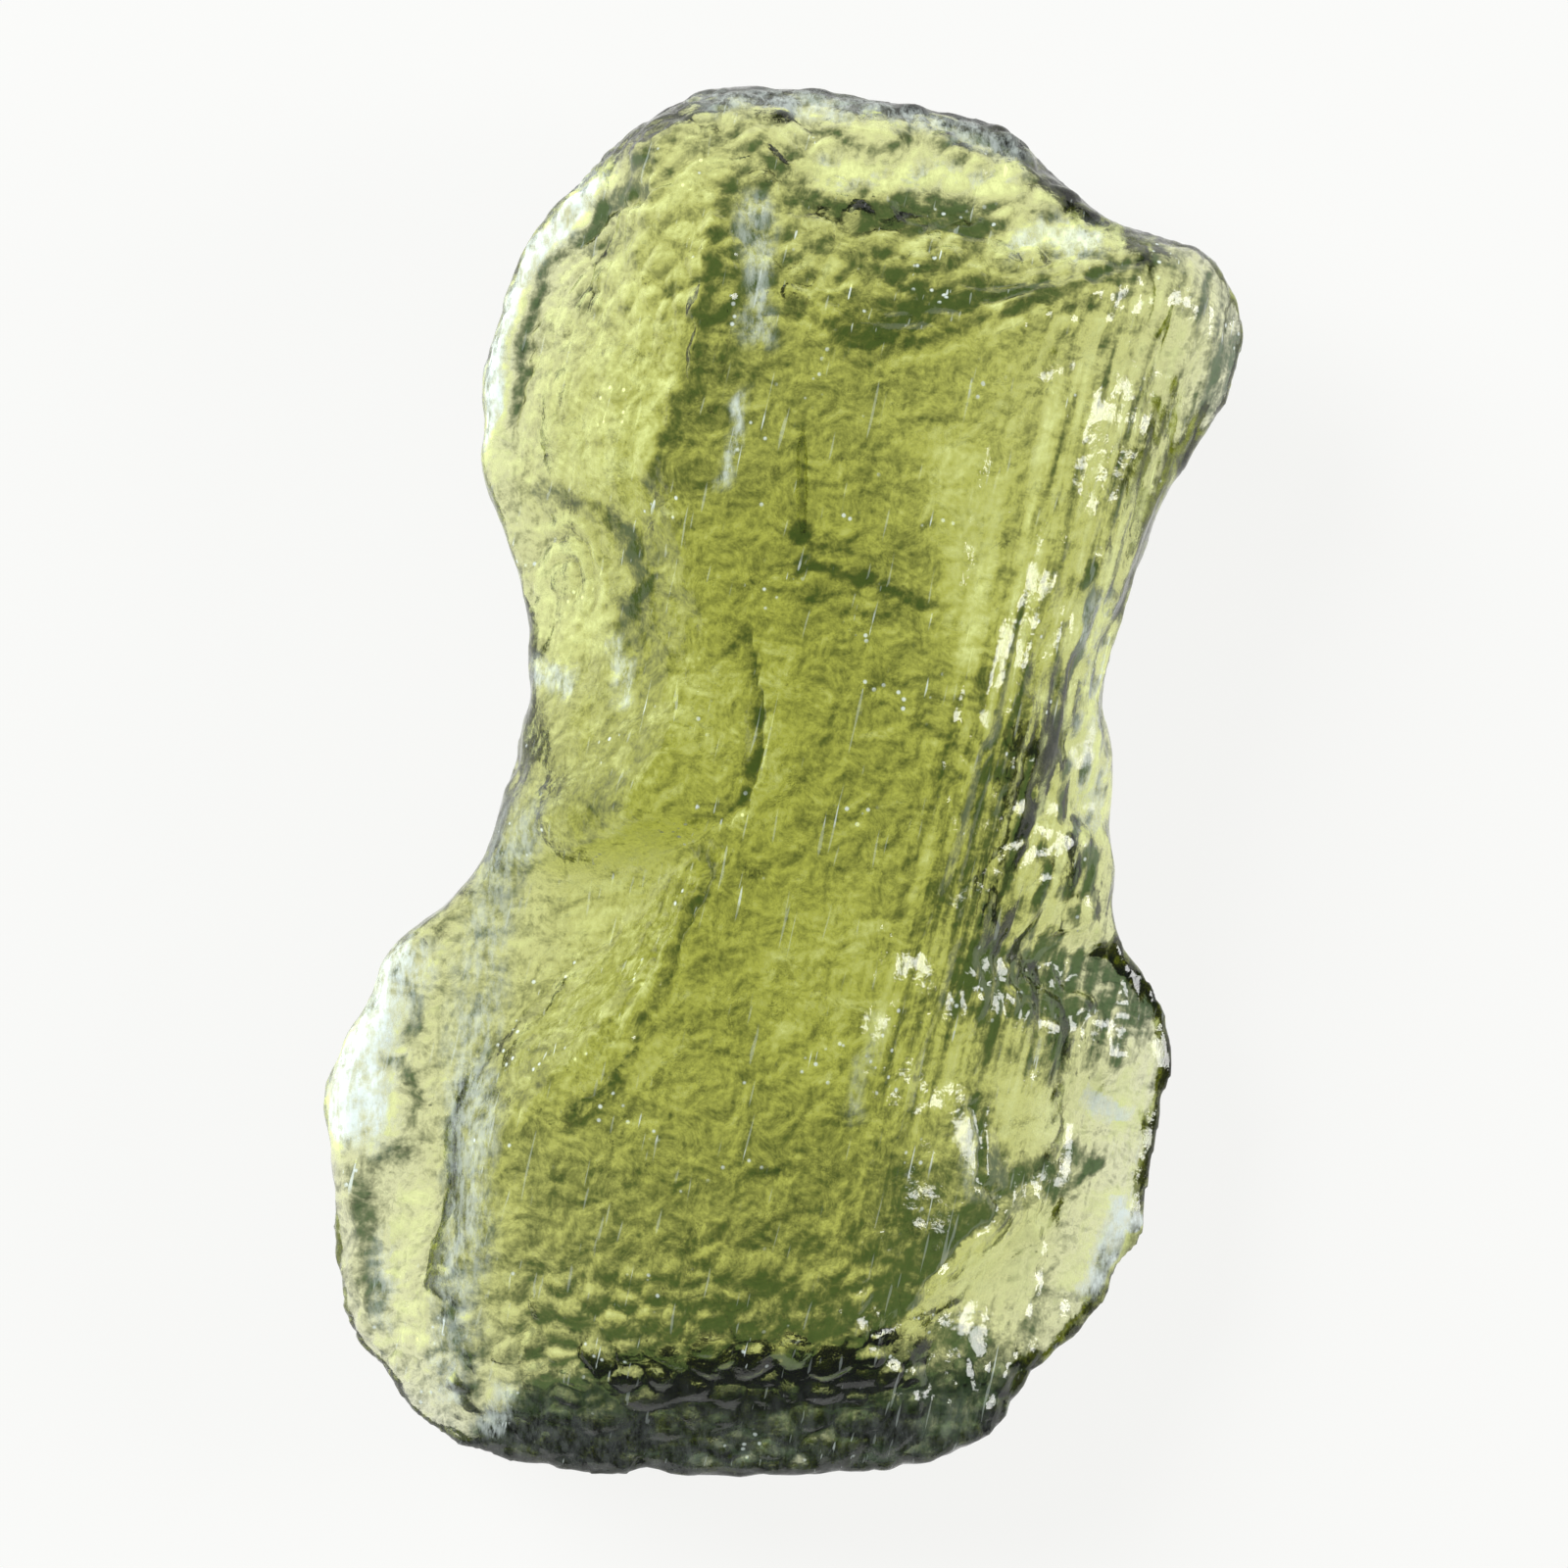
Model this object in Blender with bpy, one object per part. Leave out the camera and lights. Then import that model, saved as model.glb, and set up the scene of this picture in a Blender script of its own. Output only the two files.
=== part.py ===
"""A moldavite: one piece of natural green impact glass, 30 mm long and 20 mm across.

It lies on its back on a small flat spot. X runs across the stone, Y along its length, and Z up
from the surface that it lies on. The origin is at the middle of its footprint. The forms below
are written in millimetres, and the finished mesh is in metres.
"""

import math

import bmesh
import bpy
import numpy as np
from mathutils import Vector, noise

MM = 0.001
STONE_NAME = "moldavite"
BALL_SUBDIVISIONS = 7
SMOOTHING_ROUNDS = 4
TRIANGLES = 9800
GLASS_GREEN = (0.46, 0.55, 0.13, 1.0)
GLASS_ROUGHNESS = 0.18
GLASS_IOR = 1.49

# The stone's outline from above, anticlockwise from the waist on the right.
OUTLINE = [
    (7.0, 0.0), (6.95, 1.0), (6.8, 1.7), (6.95, 2.5), (7.35, 3.9), (7.9, 5.7),
    (8.6, 6.7), (9.3, 7.7), (9.85, 8.4), (10.0, 9.4), (9.6, 10.6), (8.9, 11.4),
    (8.0, 11.7), (7.0, 12.05), (6.2, 12.6), (5.4, 13.4), (4.5, 14.0), (2.6, 14.6),
    (0.6, 14.95), (-0.7, 15.0), (-2.1, 14.75), (-3.5, 13.95), (-4.8, 12.75),
    (-5.7, 11.5), (-6.1, 10.3), (-6.55, 8.9), (-6.6, 7.7), (-6.75, 7.05),
    (-6.45, 6.1), (-6.1, 5.1), (-5.8, 4.1), (-5.65, 2.9), (-5.6, 1.9), (-5.8, 0.5),
    (-6.3, -0.8), (-6.8, -1.9), (-7.6, -2.75), (-8.5, -3.5), (-8.85, -4.4),
    (-9.3, -5.25), (-9.9, -6.2), (-10.05, -7.3), (-9.8, -8.7), (-9.7, -10.8),
    (-9.35, -12.0), (-8.7, -13.0), (-8.0, -13.85), (-7.0, -14.4), (-5.0, -14.8),
    (-2.6, -14.95), (-1.5, -15.0), (0.5, -14.8), (2.6, -14.7), (3.7, -14.4),
    (4.6, -13.9), (5.0, -13.2), (5.25, -12.7), (6.7, -11.5), (7.2, -10.6),
    (7.8, -9.95), (7.95, -8.8), (8.2, -7.2), (8.35, -5.8), (8.2, -5.0), (7.8, -4.25),
    (7.15, -3.5), (7.0, -2.6), (7.05, -1.9), (6.95, -1.0),
]
OUTLINE_STEPS = 8

# How the edge is rounded, by bearing from the middle in degrees: the height of the edge itself,
# and how far in from it the front and the back reach their full height.
EDGE_STATIONS = [
    (0, 3.0, 0.5, 0.5), (30, 3.4, 0.6, 0.7), (45, 3.7, 1.1, 1.2), (60, 3.8, 1.0, 1.1),
    (80, 3.8, 0.9, 0.8), (100, 3.3, 0.7, 0.6), (112, 2.6, 0.35, 0.4), (140, 2.5, 0.3, 0.4),
    (160, 2.8, 0.5, 0.5), (190, 3.0, 0.6, 0.6), (203, 3.0, 0.5, 0.5), (215, 2.8, 0.5, 0.5),
    (232, 2.9, 0.5, 0.5), (244, 3.9, 0.6, 0.3), (256, 4.25, 0.4, 0.2), (286, 4.25, 0.4, 0.2),
    (298, 3.2, 0.5, 0.5), (318, 2.8, 0.6, 0.6), (335, 3.0, 0.6, 0.6),
]

# The least thickness at the edge: each side stands this far from the edge's own height, and this
# much farther for each millimetre inwards, as far in as the reach.
LEAST_RISE, LEAST_SLOPE, LEAST_REACH = 0.06, 0.50, 0.5

# Where a thin flange runs along the edge, by bearing: its width, and how far its front stands
# above the edge. The front climbs steeply from the flange to the body of the stone.
FLANGE_STATIONS = [
    (0, 0.45, 1.0), (22, 0.35, 1.3), (40, 0.0, 2.5), (62, 0.0, 3.0), (100, 0.0, 3.0),
    (107, 1.2, 1.0), (120, 0.95, 0.8), (135, 0.65, 0.8), (150, 0.40, 0.9), (160, 0.35, 1.0),
    (175, 0.30, 1.2), (188, 0.30, 1.5), (198, 0.8, 1.2), (206, 2.0, 1.0), (222, 2.9, 1.1),
    (231, 2.4, 1.1), (238, 1.4, 1.2), (246, 0.3, 1.6), (254, 0.0, 3.0), (290, 0.0, 3.0),
    (298, 1.1, 1.0), (309, 1.5, 1.0), (318, 0.5, 1.5), (326, 0.0, 3.0), (344, 0.0, 2.5),
    (352, 0.5, 1.0),
]
FLANGE_SLOPE, FLANGE_WALL = 0.22, 1.00

# The front is highest along a low spine and the back lowest near the middle.
FRONT_TOP, FRONT_MIDDLE, FRONT_ACROSS, FRONT_ALONG = 7.6, (0.3, 0.5), 0.020, 0.0070
BACK_LOW, BACK_MIDDLE, BACK_ACROSS, BACK_ALONG = -0.30, (-0.1, -0.7), 0.035, 0.012
RIDGE_BLEND = 0.22

# Broad faces that the glass broke or wore along: a point where each begins, the bearing that it
# falls away to, and its slope in degrees.
FRONT_FACES = [
    (-1.8, 9.5, 163, 29), (1.9, 7.6, 14, 11), (2.4, 9.8, 76, 28), (-4.4, 11.6, 133, 45),
    (-5.9, 8.4, 173, 50), (3.2, 1.2, 345, 37), (-6.0, -5.5, 181, 30), (-2.2, -12.0, 228, 24),
    (-6.9, -11.6, 214, 40), (0.4, -11.8, 269, 37), (3.9, -9.7, 323, 27), (5.0, -6.2, 356, 26),
]
BACK_FACES = [
    (0.0, -11.2, 268, 39), (0.6, 9.2, 84, 21), (-3.2, -6.0, 184, 19), (3.2, 7.0, 15, 17),
    (-1.8, 8.4, 152, 17), (1.2, -0.6, 352, 18), (3.2, -7.4, 325, 14), (-2.2, 2.0, 178, 17),
]

# Shallow bowls in the front and back: the middle, half the width, half the length, the bearing of
# the length, and the depth. A bowl of negative depth is a lump.
FRONT_BOWLS = [
    (-4.5, 4.1, 1.15, 1.85, 97, 0.70), (-1.55, 1.3, 1.05, 2.35, 93, 0.40),
    (-3.9, 0.1, 0.75, 1.3, 80, 0.30), (-7.0, 1.6, 3.9, 6.2, 93, 2.3),
    (6.1, -4.0, 1.0, 2.5, 170, 1.10), (6.4, -7.3, 1.2, 1.6, 100, 0.45),
    (4.7, -11.1, 1.5, 2.0, 60, 0.45),
    (4.7, 4.9, 1.2, 3.4, 75, 0.30), (-7.9, -7.0, 0.6, 1.1, 60, 0.35),
    (1.9, -2.6, 1.9, 3.3, 110, 0.24), (-4.0, 8.2, 1.1, 2.6, 78, 0.25),
    (3.4, 12.2, 0.5, 1.25, 175, 0.50), (0.4, 12.4, 0.32, 0.75, 170, 0.30),
    (0.6, 10.8, 0.55, 0.9, 160, 0.26), (5.7, 11.7, 0.9, 1.7, 155, 0.35),
    (-8.3, -10.9, 0.8, 1.6, 100, 0.35), (-0.4, 13.6, 0.9, 1.1, 90, -0.34),
    (1.9, 13.8, 0.6, 1.5, 175, -0.40), (3.6, 13.4, 0.5, 0.8, 150, -0.32),
    (2.2, 11.3, 0.5, 0.7, 90, -0.28), (3.4, 11.2, 0.5, 0.6, 90, -0.28),
    (-7.8, -3.8, 0.8, 1.0, 50, -0.35), (-8.8, -5.2, 0.8, 1.0, 70, -0.32),
    (-8.5, -8.4, 0.8, 1.1, 90, -0.32), (-9.1, -9.7, 0.6, 0.7, 90, -0.28),
    (7.4, -9.5, 0.55, 0.6, 90, -0.45), (6.9, -6.0, 0.6, 1.2, 20, -0.30),
    (9.0, 9.6, 0.9, 1.3, 80, -0.30), (7.0, -1.2, 0.5, 0.9, 90, -0.25),
    (6.5, 1.6, 0.5, 0.8, 90, -0.22), (1.4, 3.9, 0.5, 1.7, 172, 0.16),
]
BACK_BOWLS = [
    (5.2, 8.4, 1.6, 2.4, 40, 0.22), (-4.0, 10.2, 1.4, 2.2, 120, 0.20),
    (-7.4, -8.4, 1.6, 3.2, 80, 0.35), (5.6, -8.3, 1.3, 2.0, 110, 0.12),
    (-4.6, 4.4, 1.2, 1.9, 85, 0.15), (5.4, 1.3, 0.8, 2.6, 95, 0.10),
    (1.6, 12.0, 1.3, 1.9, 170, 0.20), (-5.0, -4.6, 1.5, 2.2, 65, 0.20),
]

# Ledges where flakes came off the front. Going along the line, the high side is on the left: how
# high the ledge is, how far back from it the surface is raised, and how wide its wall is.
LEDGES = [
    ([(-4.9, -7.1), (-4.0, -6.6), (-3.35, -5.9), (-2.9, -4.9), (-2.1, -3.4), (-1.6, -1.2)],
     0.40, 2.3, 0.16),
    ([(-6.2, -5.8), (-5.7, -6.6), (-4.7, -7.05)], 0.30, 1.6, 0.20),
    ([(-1.2, 3.5), (-0.7, 2.5), (-0.55, 1.2), (-0.65, 0.1), (-1.3, -0.8)], 0.36, 1.9, 0.16),
    ([(2.4, -11.3), (4.7, -9.3), (4.2, -8.5), (3.9, -6.4)], 0.50, 2.0, 0.25),
    ([(-2.9, 4.7), (-3.3, 5.6), (-4.2, 6.2), (-5.2, 5.9)], 0.30, 1.5, 0.16),
    ([(8.4, 11.2), (6.1, 10.5), (4.2, 9.6), (2.1, 9.1), (0.2, 9.6)], 0.60, 2.0, 0.80),
]

# Worn crests on the front, and grooves in the back: the line of each, its half width and height.
CRESTS = [
    ([(-1.0, 13.4), (-1.5, 11.5), (-1.8, 9.8), (-2.3, 6.6), (-3.1, 4.8)], 0.42, 0.26),
    ([(5.4, 6.2), (4.6, 3.4), (3.7, 0.2), (3.0, -2.6), (2.3, -5.4)], 0.55, 0.15),
    ([(5.1, -8.9), (5.6, -10.4), (5.4, -12.0)], 0.35, 0.09),
    ([(5.0, -8.8), (6.2, -8.9), (7.4, -8.6)], 0.35, 0.14),
]
GROOVES = [
    ([(-0.2, 12.4), (-0.6, 9.8), (-1.0, 7.2), (-1.3, 5.2)], 0.60, 0.50),
    ([(4.9, 2.6), (4.4, 0.4), (3.9, -1.8), (3.5, -3.8)], 0.70, 0.16),
]

# The grooves that the glass's flow left over the right of the front: their bearing in degrees,
# how far across the flow they begin, how far along it they end, and over what widths they fade in.
FLOW_BEARING = 74.5
FLUTES_FROM, FLUTES_END = 2.6, -5.0
FLUTES_FADE_ACROSS, FLUTES_FADE_ALONG = 1.5, 3.0
FLUTE_SPACING, FLUTE_DEPTH = 0.85, 0.05
FLUTE_WANDER, FLUTE_WANDER_TURN = 0.35, 1.7

# Etched pits: how many, their least and greatest size, and how deep they are for their size. None
# are on the smooth body of the front, which is above this height and within these limits.
PITS, PIT_SIZES, PIT_DEPTH = 330, (0.30, 0.62), 0.20
PIT_SEED = 11
SMOOTH_ABOVE, SMOOTH_LOW, SMOOTH_HIGH = 5.0, (-5.5, -10.5), (5.5, 10.0)

# Swells all over: how many there are in a millimetre, and how high they are. They fade out just
# above the resting spot, from this height down.
WAVES = [(0.30, 0.16), (0.75, 0.07)]
PLAIN_BELOW = 0.4


def closed_curve(points, steps):
    """Points along a smooth closed curve through the given ones."""
    corners = np.array(points, float)
    before = np.roll(corners, 1, axis=0)
    after = np.roll(corners, -1, axis=0)
    beyond = np.roll(corners, -2, axis=0)
    stretches = []
    for step in range(steps):
        t = step / steps
        stretch = 0.5 * (
            2 * corners
            + (after - before) * t
            + (2 * before - 5 * corners + 4 * after - beyond) * t**2
            + (3 * corners - before - 3 * after + beyond) * t**3
        )
        stretches.append(stretch)
    return np.stack(stretches, axis=1).reshape(-1, 2)


def near_line(points, line):
    """For each point, its distance to a chain of lines, its side and its share of the length."""
    line = np.array(line, float)
    lengths = np.linalg.norm(np.diff(line, axis=0), axis=1)
    begun = np.concatenate([[0], np.cumsum(lengths)])
    nearest = np.full(len(points), np.inf)
    side = np.ones(len(points))
    share = np.zeros(len(points))
    for start, end, length, gone in zip(line[:-1], line[1:], lengths, begun):
        along = (end - start) / length
        offset = points - start
        way = np.clip(offset @ along, 0, length)
        distance = np.linalg.norm(offset - way[:, None] * along, axis=1)
        across = along[0] * offset[:, 1] - along[1] * offset[:, 0]
        closer = distance < nearest
        nearest[closer] = distance[closer]
        side[closer] = np.sign(across[closer])
        share[closer] = ((gone + way) / begun[-1])[closer]
    return nearest, side, share


def lower_of(a, b, blend):
    """The lower of two heights, with the ridge between them rounded over."""
    share = np.clip(0.5 + 0.5 * (b - a) / blend, 0, 1)
    return b + (a - b) * share - blend * share * (1 - share)


def higher_of(a, b, blend):
    return -lower_of(-a, -b, blend)


def dome(points, middle, across, along):
    offset = points - np.array(middle)
    return across * offset[:, 0] ** 2 + along * offset[:, 1] ** 2


def fall(points, face):
    """How far a sloping face has dropped at each point, below where it begins."""
    x, y, bearing, slope = face
    turn = math.radians(bearing)
    offset = points - np.array((x, y))
    return math.tan(math.radians(slope)) * (
        offset[:, 0] * math.cos(turn) + offset[:, 1] * math.sin(turn)
    )


def bowls(points, places):
    """The depth of all the bowls together at each point."""
    depth = np.zeros(len(points))
    for x, y, half_width, half_length, bearing, deepest in places:
        turn = math.radians(bearing)
        offset = points - np.array((x, y))
        along = offset[:, 0] * math.cos(turn) + offset[:, 1] * math.sin(turn)
        across = offset[:, 1] * math.cos(turn) - offset[:, 0] * math.sin(turn)
        reach = (along / half_length) ** 2 + (across / half_width) ** 2
        depth += deepest * np.clip(1 - reach, 0, 1) ** 1.5
    return depth


def ledges(points):
    rise = np.zeros(len(points))
    for line, height, back, wall_width in LEDGES:
        distance, side, share = near_line(points, line)
        ends = np.clip(4 * share, 0, 1) * np.clip(4 * (1 - share), 0, 1)
        raised = np.clip(1 - distance / back, 0, 1) ** 1.6
        wall = np.clip(1 - distance / wall_width, 0, 1)
        rise += height * ends * np.where(side > 0, raised, wall)
    return rise


def crests(points, lines):
    rise = np.zeros(len(points))
    for line, half_width, height in lines:
        distance, _, share = near_line(points, line)
        ends = np.clip(5 * share, 0, 1) * np.clip(5 * (1 - share), 0, 1)
        rise += height * ends * np.exp(-((distance / half_width) ** 2))
    return rise


def flutes(points):
    """Grooves along the flow of the glass, only over the right of the front."""
    turn = math.radians(FLOW_BEARING)
    across = points[:, 0] * math.sin(turn) - points[:, 1] * math.cos(turn)
    along = points[:, 0] * math.cos(turn) + points[:, 1] * math.sin(turn)
    here = np.clip((across - FLUTES_FROM) / FLUTES_FADE_ACROSS, 0, 1)
    here *= np.clip((along - FLUTES_END) / FLUTES_FADE_ALONG, 0, 1)
    wander = FLUTE_WANDER * np.sin(across * FLUTE_WANDER_TURN)
    return FLUTE_DEPTH * here * np.sin(2 * math.pi * (across + wander) / FLUTE_SPACING)


def front_height(points):
    height = FRONT_TOP - dome(points, FRONT_MIDDLE, FRONT_ACROSS, FRONT_ALONG)
    for face in FRONT_FACES:
        start = np.array([face[:2]], float)
        top = FRONT_TOP - dome(start, FRONT_MIDDLE, FRONT_ACROSS, FRONT_ALONG)[0]
        height = lower_of(height, top - fall(points, face), RIDGE_BLEND)
    height += ledges(points) + crests(points, CRESTS) + flutes(points)
    return height - bowls(points, FRONT_BOWLS)


def back_height(points):
    height = BACK_LOW + dome(points, BACK_MIDDLE, BACK_ACROSS, BACK_ALONG)
    for face in BACK_FACES:
        start = np.array([face[:2]], float)
        low = BACK_LOW + dome(start, BACK_MIDDLE, BACK_ACROSS, BACK_ALONG)[0]
        height = higher_of(height, low + fall(points, face), RIDGE_BLEND)
    return height + bowls(points, BACK_BOWLS) + crests(points, GROOVES)


def round_edge(bearings, stations, column):
    """One column of a list of stations, read smoothly round the stone."""
    stations = np.array(stations, float)
    return np.interp(bearings, stations[:, 0], stations[:, column], period=360)


def shoulder(distance, width):
    """From 0 on the edge to 1 where the face proper begins, as a quarter of an ellipse."""
    share = np.clip(distance / width, 0, 1)
    return np.sqrt(1 - (1 - share) ** 2)


def stone_points(ball):
    """Moves points of a unit ball to the stone's broad forms, in millimetres."""
    outline = closed_curve(OUTLINE, OUTLINE_STEPS)
    outline_bearing = np.degrees(np.arctan2(outline[:, 1], outline[:, 0])) % 360
    outline_reach = np.linalg.norm(outline, axis=1)
    order = np.argsort(outline_bearing)
    bearing = np.degrees(np.arctan2(ball[:, 1], ball[:, 0])) % 360
    reach = np.interp(bearing, outline_bearing[order], outline_reach[order], period=360)
    plan = ball[:, :2] * reach[:, None]
    distance, _, _ = near_line(plan, np.vstack([outline, outline[:1]]))
    edge = round_edge(bearing, EDGE_STATIONS, 1)
    past_flange = np.clip(distance - round_edge(bearing, FLANGE_STATIONS, 1), 0, None)
    flange_rise = round_edge(bearing, FLANGE_STATIONS, 2)
    flange_rise += FLANGE_SLOPE * distance + FLANGE_WALL * past_flange
    front_rise = lower_of(front_height(plan) - edge, flange_rise, RIDGE_BLEND)
    least_rise = LEAST_RISE + LEAST_SLOPE * np.minimum(distance, LEAST_REACH)
    front_rise = higher_of(front_rise, np.minimum(least_rise, flange_rise), RIDGE_BLEND)
    back_rise = lower_of(back_height(plan) - edge, -least_rise, RIDGE_BLEND)
    front = edge + front_rise * shoulder(distance, round_edge(bearing, EDGE_STATIONS, 2))
    back = edge + back_rise * shoulder(distance, round_edge(bearing, EDGE_STATIONS, 3))
    return np.column_stack([plan, np.where(ball[:, 2] >= 0, front, back)])


def surface_relief(points):
    """How far the etched surface stands out from the broad forms, at points in millimetres."""
    relief = np.zeros(len(points))
    for frequency, height in WAVES:
        relief += height * np.array([noise.noise(Vector(point) * frequency) for point in points])
    random = np.random.default_rng(PIT_SEED)
    for middle in points[random.choice(len(points), PITS, replace=False)]:
        size = random.uniform(*PIT_SIZES)
        inside = np.all(middle[:2] > SMOOTH_LOW) and np.all(middle[:2] < SMOOTH_HIGH)
        if inside and middle[2] > SMOOTH_ABOVE:
            continue
        reach = np.sum((points - middle) ** 2, axis=1) / size**2
        relief -= PIT_DEPTH * size * np.clip(1 - reach, 0, 1)
    return relief * np.clip(points[:, 2] / PLAIN_BELOW - 0.5, 0, 1)


def dense_stone():
    """The stone in fine triangles, as an object in millimetres."""
    shape = bmesh.new()
    bmesh.ops.create_icosphere(shape, subdivisions=BALL_SUBDIVISIONS, radius=1.0)
    ball = np.array([vertex.co[:] for vertex in shape.verts])
    for vertex, place in zip(shape.verts, stone_points(ball)):
        vertex.co = Vector(place)
    for _ in range(SMOOTHING_ROUNDS):
        bmesh.ops.smooth_vert(
            shape, verts=shape.verts, factor=0.5, use_axis_x=True, use_axis_y=True, use_axis_z=True
        )
    shape.normal_update()
    points = np.array([vertex.co[:] for vertex in shape.verts])
    for vertex, out in zip(shape.verts, surface_relief(points)):
        vertex.co += vertex.normal * out
    mesh = bpy.data.meshes.new(STONE_NAME)
    shape.to_mesh(mesh)
    shape.free()
    stone = bpy.data.objects.new(STONE_NAME, mesh)
    bpy.context.scene.collection.objects.link(stone)
    return stone


def flatten_resting_spot(stone):
    """Cuts the lowest of the back off flat, and centres the stone and brings it to metres."""
    shape = bmesh.new()
    shape.from_object(stone, bpy.context.evaluated_depsgraph_get())
    everything = shape.verts[:] + shape.edges[:] + shape.faces[:]
    cut = bmesh.ops.bisect_plane(
        shape, geom=everything, plane_co=(0, 0, 0), plane_no=(0, 0, 1), clear_inner=True
    )
    rim = [part for part in cut["geom_cut"] if isinstance(part, bmesh.types.BMEdge)]
    bmesh.ops.contextual_create(shape, geom=rim)
    bmesh.ops.recalc_face_normals(shape, faces=shape.faces)
    if shape.calc_volume(signed=True) < 0:
        bmesh.ops.reverse_faces(shape, faces=shape.faces)
    bmesh.ops.triangulate(shape, faces=shape.faces)
    places = np.array([vertex.co[:] for vertex in shape.verts])
    middle = (places.min(axis=0) + places.max(axis=0)) / 2
    bmesh.ops.translate(shape, vec=(-middle[0], -middle[1], 0), verts=shape.verts)
    bmesh.ops.scale(shape, vec=(MM, MM, MM), verts=shape.verts)
    stone.modifiers.clear()
    shape.to_mesh(stone.data)
    shape.free()


def green_glass():
    glass = bpy.data.materials.new("green_glass")
    glass.use_nodes = True
    surface = glass.node_tree.nodes["Principled BSDF"]
    surface.inputs["Base Color"].default_value = GLASS_GREEN
    surface.inputs["Roughness"].default_value = GLASS_ROUGHNESS
    surface.inputs["Metallic"].default_value = 0.0
    surface.inputs["IOR"].default_value = GLASS_IOR
    surface.inputs["Transmission Weight"].default_value = 1.0
    return glass


def main():
    for old in list(bpy.data.objects):
        bpy.data.objects.remove(old, do_unlink=True)
    stone = dense_stone()
    fewer = stone.modifiers.new("Fewer triangles", "DECIMATE")
    fewer.ratio = TRIANGLES / len(stone.data.polygons)
    flatten_resting_spot(stone)
    stone.data.materials.append(green_glass())
    stone.data.shade_smooth()


main()
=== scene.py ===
"""A moldavite, lying on its back on a pale floor, as its front is seen from straight above."""

import math

import bmesh
import bpy
import numpy as np
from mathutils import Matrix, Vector, noise


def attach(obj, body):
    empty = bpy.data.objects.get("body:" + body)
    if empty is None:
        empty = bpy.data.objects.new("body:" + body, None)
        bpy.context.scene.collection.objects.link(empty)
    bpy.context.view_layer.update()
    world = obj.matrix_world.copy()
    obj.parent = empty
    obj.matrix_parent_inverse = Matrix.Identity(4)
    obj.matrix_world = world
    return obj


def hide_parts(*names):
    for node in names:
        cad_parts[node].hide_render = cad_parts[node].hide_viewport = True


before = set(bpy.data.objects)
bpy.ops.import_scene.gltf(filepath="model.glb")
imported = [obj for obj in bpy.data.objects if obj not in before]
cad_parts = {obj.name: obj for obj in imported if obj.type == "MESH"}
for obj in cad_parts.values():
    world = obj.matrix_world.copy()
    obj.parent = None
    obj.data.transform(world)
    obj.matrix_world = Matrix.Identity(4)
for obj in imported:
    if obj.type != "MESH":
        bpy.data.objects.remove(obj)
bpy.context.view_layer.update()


# The stone. It is one piece of natural impact glass, chilled from a splash of melt, then broken
# and etched in the ground, so its skin has flow grooves, flake scars and cells of small pits.
# Its mesh starts from the solid, gets even faces, and is worked in millimetres.
MM = 0.001
FACE_SIZE = 0.125
SOFTENING_ROUNDS = 4

scene = bpy.context.scene
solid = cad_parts["moldavite"]
form = bmesh.new()
form.from_mesh(solid.data)
bmesh.ops.remove_doubles(form, verts=form.verts, dist=1e-6)
bmesh.ops.scale(form, vec=(1 / MM, 1 / MM, 1 / MM), verts=form.verts)
stone_mesh = bpy.data.meshes.new("stone")
form.to_mesh(stone_mesh)
stone = bpy.data.objects.new("stone", stone_mesh)
scene.collection.objects.link(stone)
even = stone.modifiers.new("Even faces", "REMESH")
even.mode = "VOXEL"
even.voxel_size = FACE_SIZE
form.clear()
form.from_object(stone, bpy.context.evaluated_depsgraph_get())
stone.modifiers.clear()
for _ in range(SOFTENING_ROUNDS):
    bmesh.ops.smooth_vert(
        form, verts=form.verts, factor=0.5, use_axis_x=True, use_axis_y=True, use_axis_z=True
    )
form.normal_update()
points = np.array([vertex.co[:] for vertex in form.verts])
normals = np.array([vertex.normal[:] for vertex in form.verts])


def rough(places, seed=0.0):
    """Soft noise between -1 and 1 at each place, about one swell in each unit of length."""
    shift = Vector((seed, seed * 1.7, seed * 2.3))
    return np.array([noise.noise(Vector(place) + shift) for place in places])


def cells(places):
    """0 at the middle of each cell of a foam and 1 where two meet."""
    result = []
    for place in places:
        (first, second, _, _), _ = noise.voronoi(Vector(place))
        result.append(first / max(second, 1e-6))
    return np.array(result)


def step(low, high, value):
    """0 up to one value and 1 from the other, with a soft step between."""
    share = np.clip((value - low) / (high - low), 0, 1)
    return share * share * (3 - 2 * share)


# The front reaches round the edge a little, up to where its normal leans down this much.
FRONT_FROM, FRONT_TO = -0.10, 0.20
front = step(FRONT_FROM, FRONT_TO, normals[:, 2])
behind = 1 - front
height = points[:, 2]

# Worn places have ragged rims, so they are looked up at slightly shifted points: how many waves
# the shift has in a millimetre, the seeds of its two directions, and how far it goes.
RAGGED = [(0.9, 21.0, 33.0, 0.20), (2.6, 41.0, 52.0, 0.16)]
plan = points[:, :2].copy()
for fineness, seed_x, seed_y, shift in RAGGED:
    shifts = [rough(points * fineness, seed_x), rough(points * fineness, seed_y)]
    plan += np.column_stack(shifts) * shift

# A soft rim takes this share of the way from a spot's middle, and a crisp side of a stroke is this
# much narrower than a soft one. Strokes fade over this share of their length at each end.
SPOT_FADES_FROM, STROKE_FADES_FROM = 0.55, 0.2
CRISPNESS, END_SHARE = 10.0, 0.12


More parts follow.
